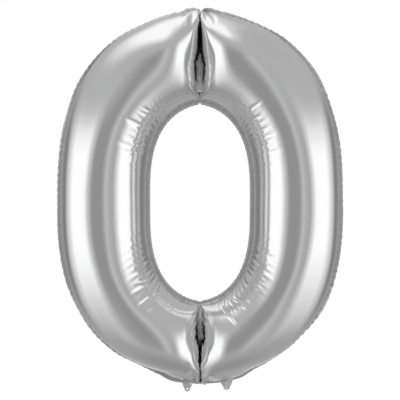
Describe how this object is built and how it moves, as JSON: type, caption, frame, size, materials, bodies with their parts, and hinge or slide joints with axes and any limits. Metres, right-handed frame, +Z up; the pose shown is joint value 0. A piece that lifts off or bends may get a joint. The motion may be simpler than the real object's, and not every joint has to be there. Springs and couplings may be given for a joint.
{
  "type": "foil number balloon",
  "caption": "Silver foil balloon in the shape of the digit zero: two sealed film panels round an open hole, with a hang tab and an inflation neck below.",
  "frame": {"origin": "centre of the ribbon hole in the hang tab, halfway through its thickness", "axes": "+Z up through the ring, +X to the ring's right seen from its front, the front faces -Y"},
  "size_m": [0.654, 0.2216, 0.878],
  "materials": {
    "silver_foil": "mirror-bright metallised film",
    "seal": "crimped heat seal",
    "valve_film": "milky polyethylene film"
  },
  "bodies": {
    "envelope": {"front_foil_panel": "silver_foil", "back_foil_panel": "silver_foil", "outer_seam_weld": "seal", "inner_seam_weld": "seal", "top_crease_weld": "seal", "bottom_crease_weld": "seal", "valve_back_film": "valve_film", "valve_edge_welds": "valve_film"},
    "valve_flap": {"valve_front_film": "valve_film"},
    "hang_tab": {"hang_tab_front_ply": "silver_foil", "hang_tab_weld": "seal", "hang_tab_back_ply": "silver_foil"},
    "inflation_neck": {"neck_front_ply": "silver_foil", "neck_edge_welds": "seal", "neck_back_ply": "silver_foil"}
  },
  "joints": [
    {"name": "hang_tab_fold", "type": "hinge", "parent": "envelope", "child": "hang_tab", "pos_m": [0, 0, 0.011], "axis": [1, 0, 0], "range_deg": [-85, 85]},
    {"name": "neck_fold", "type": "hinge", "parent": "envelope", "child": "inflation_neck", "pos_m": [0.09, 0, 0.01357], "axis": [1, 0, 0], "range_deg": [-85, 85]},
    {"name": "valve_part", "type": "hinge", "parent": "envelope", "child": "valve_flap", "pos_m": [0.09, -0.0004, 0.03526], "axis": [1, 0, 0], "range_deg": [0, 3], "stiffness_Nm_per_rad": 0.001}
  ]
}
